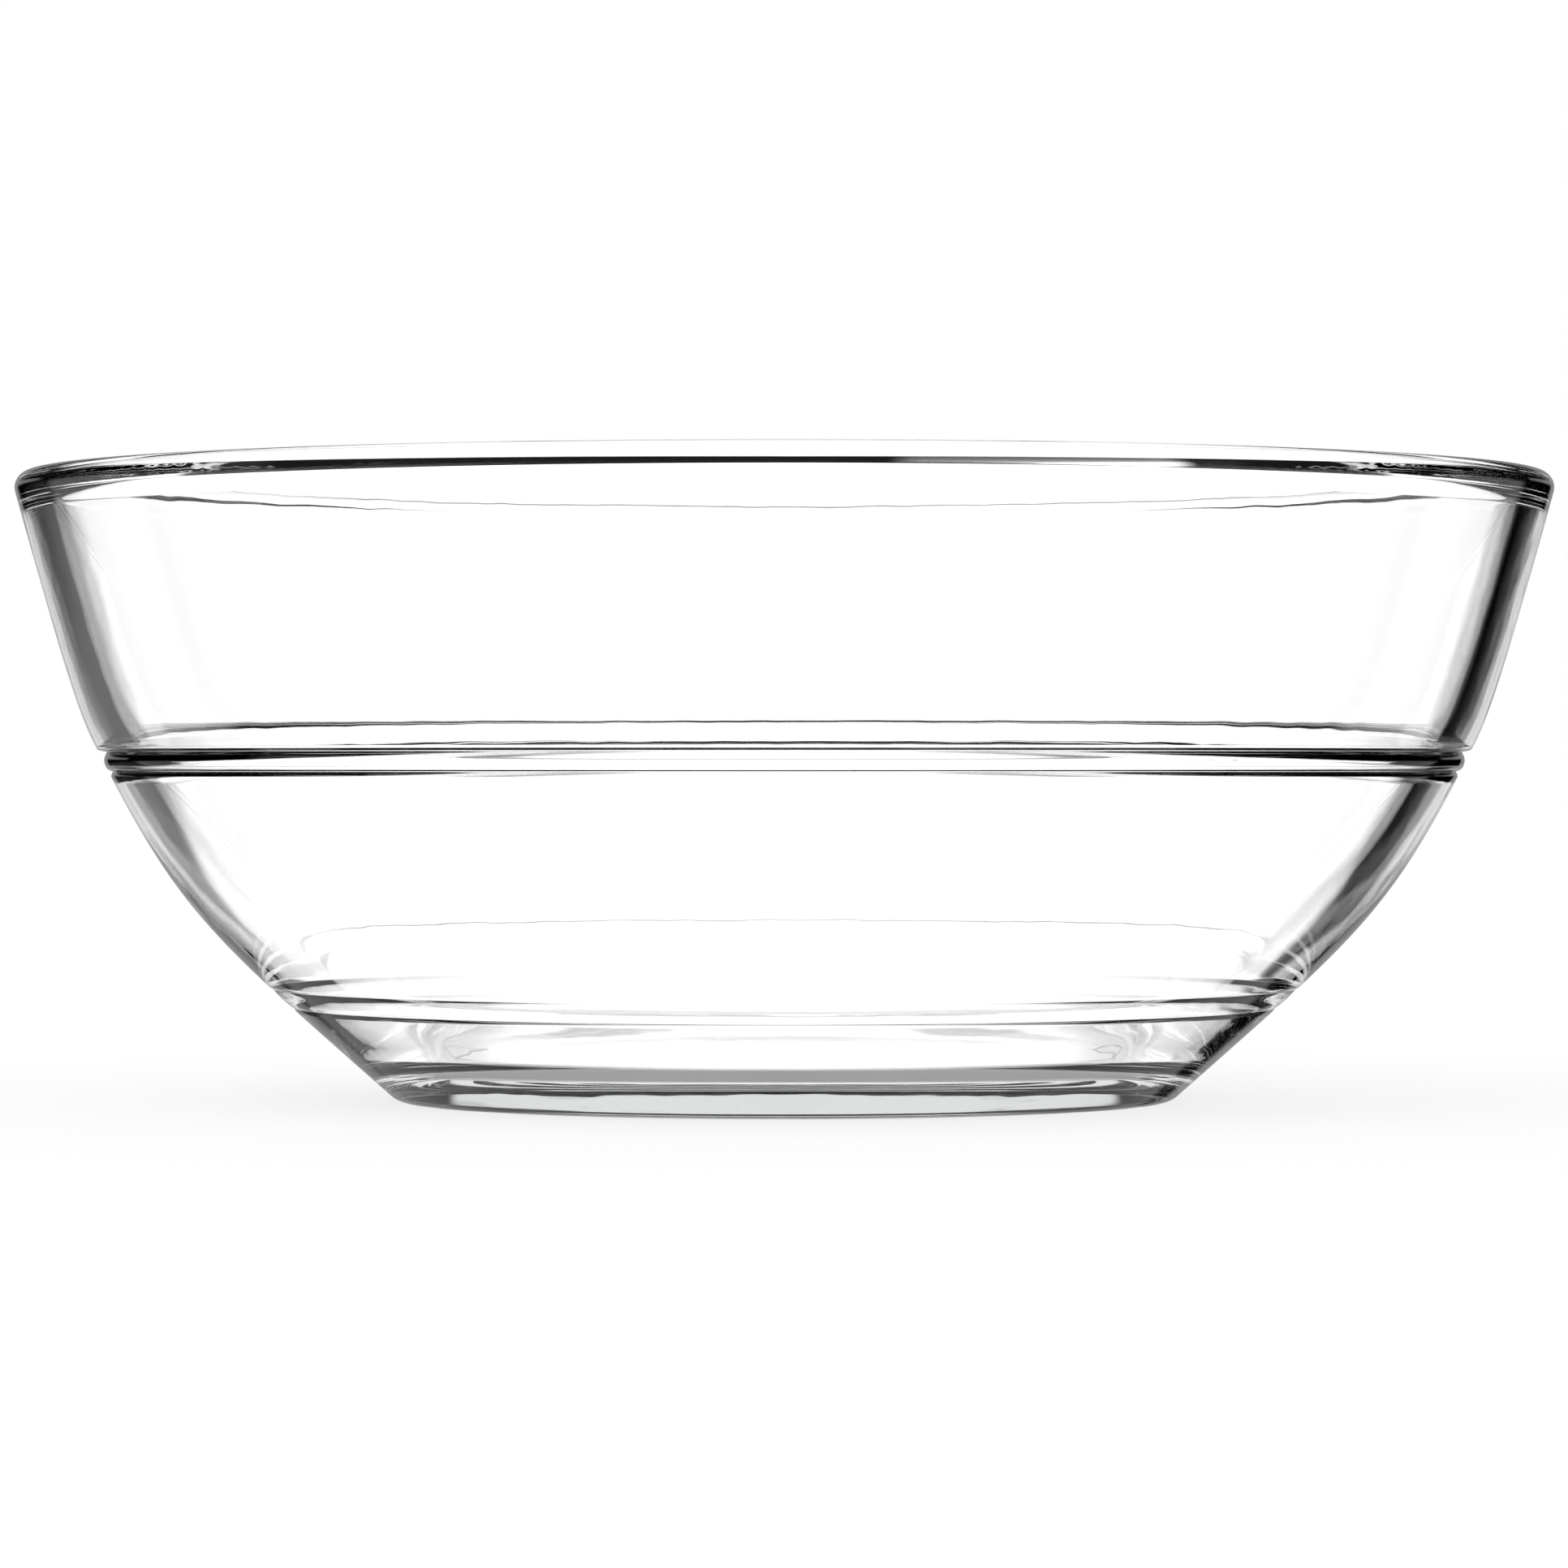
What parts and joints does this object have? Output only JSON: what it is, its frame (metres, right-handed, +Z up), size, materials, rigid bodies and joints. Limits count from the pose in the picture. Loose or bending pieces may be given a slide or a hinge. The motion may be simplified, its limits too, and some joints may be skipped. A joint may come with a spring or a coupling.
{
  "type": "salad bowl",
  "caption": "Clear pressed-glass salad bowl with a flared wall, a rounded rim, fine moulded bands round the outside and a flat ring to stand on.",
  "frame": {"origin": "centre of the plane that the bowl stands on", "axes": "+Z up along the bowl's axis of revolution, X and Y level"},
  "size_m": [0.23, 0.23, 0.094],
  "materials": {
    "clear_glass": "polished"
  },
  "bodies": {
    "root": {"glass_bowl": "clear_glass"}
  },
  "joints": []
}
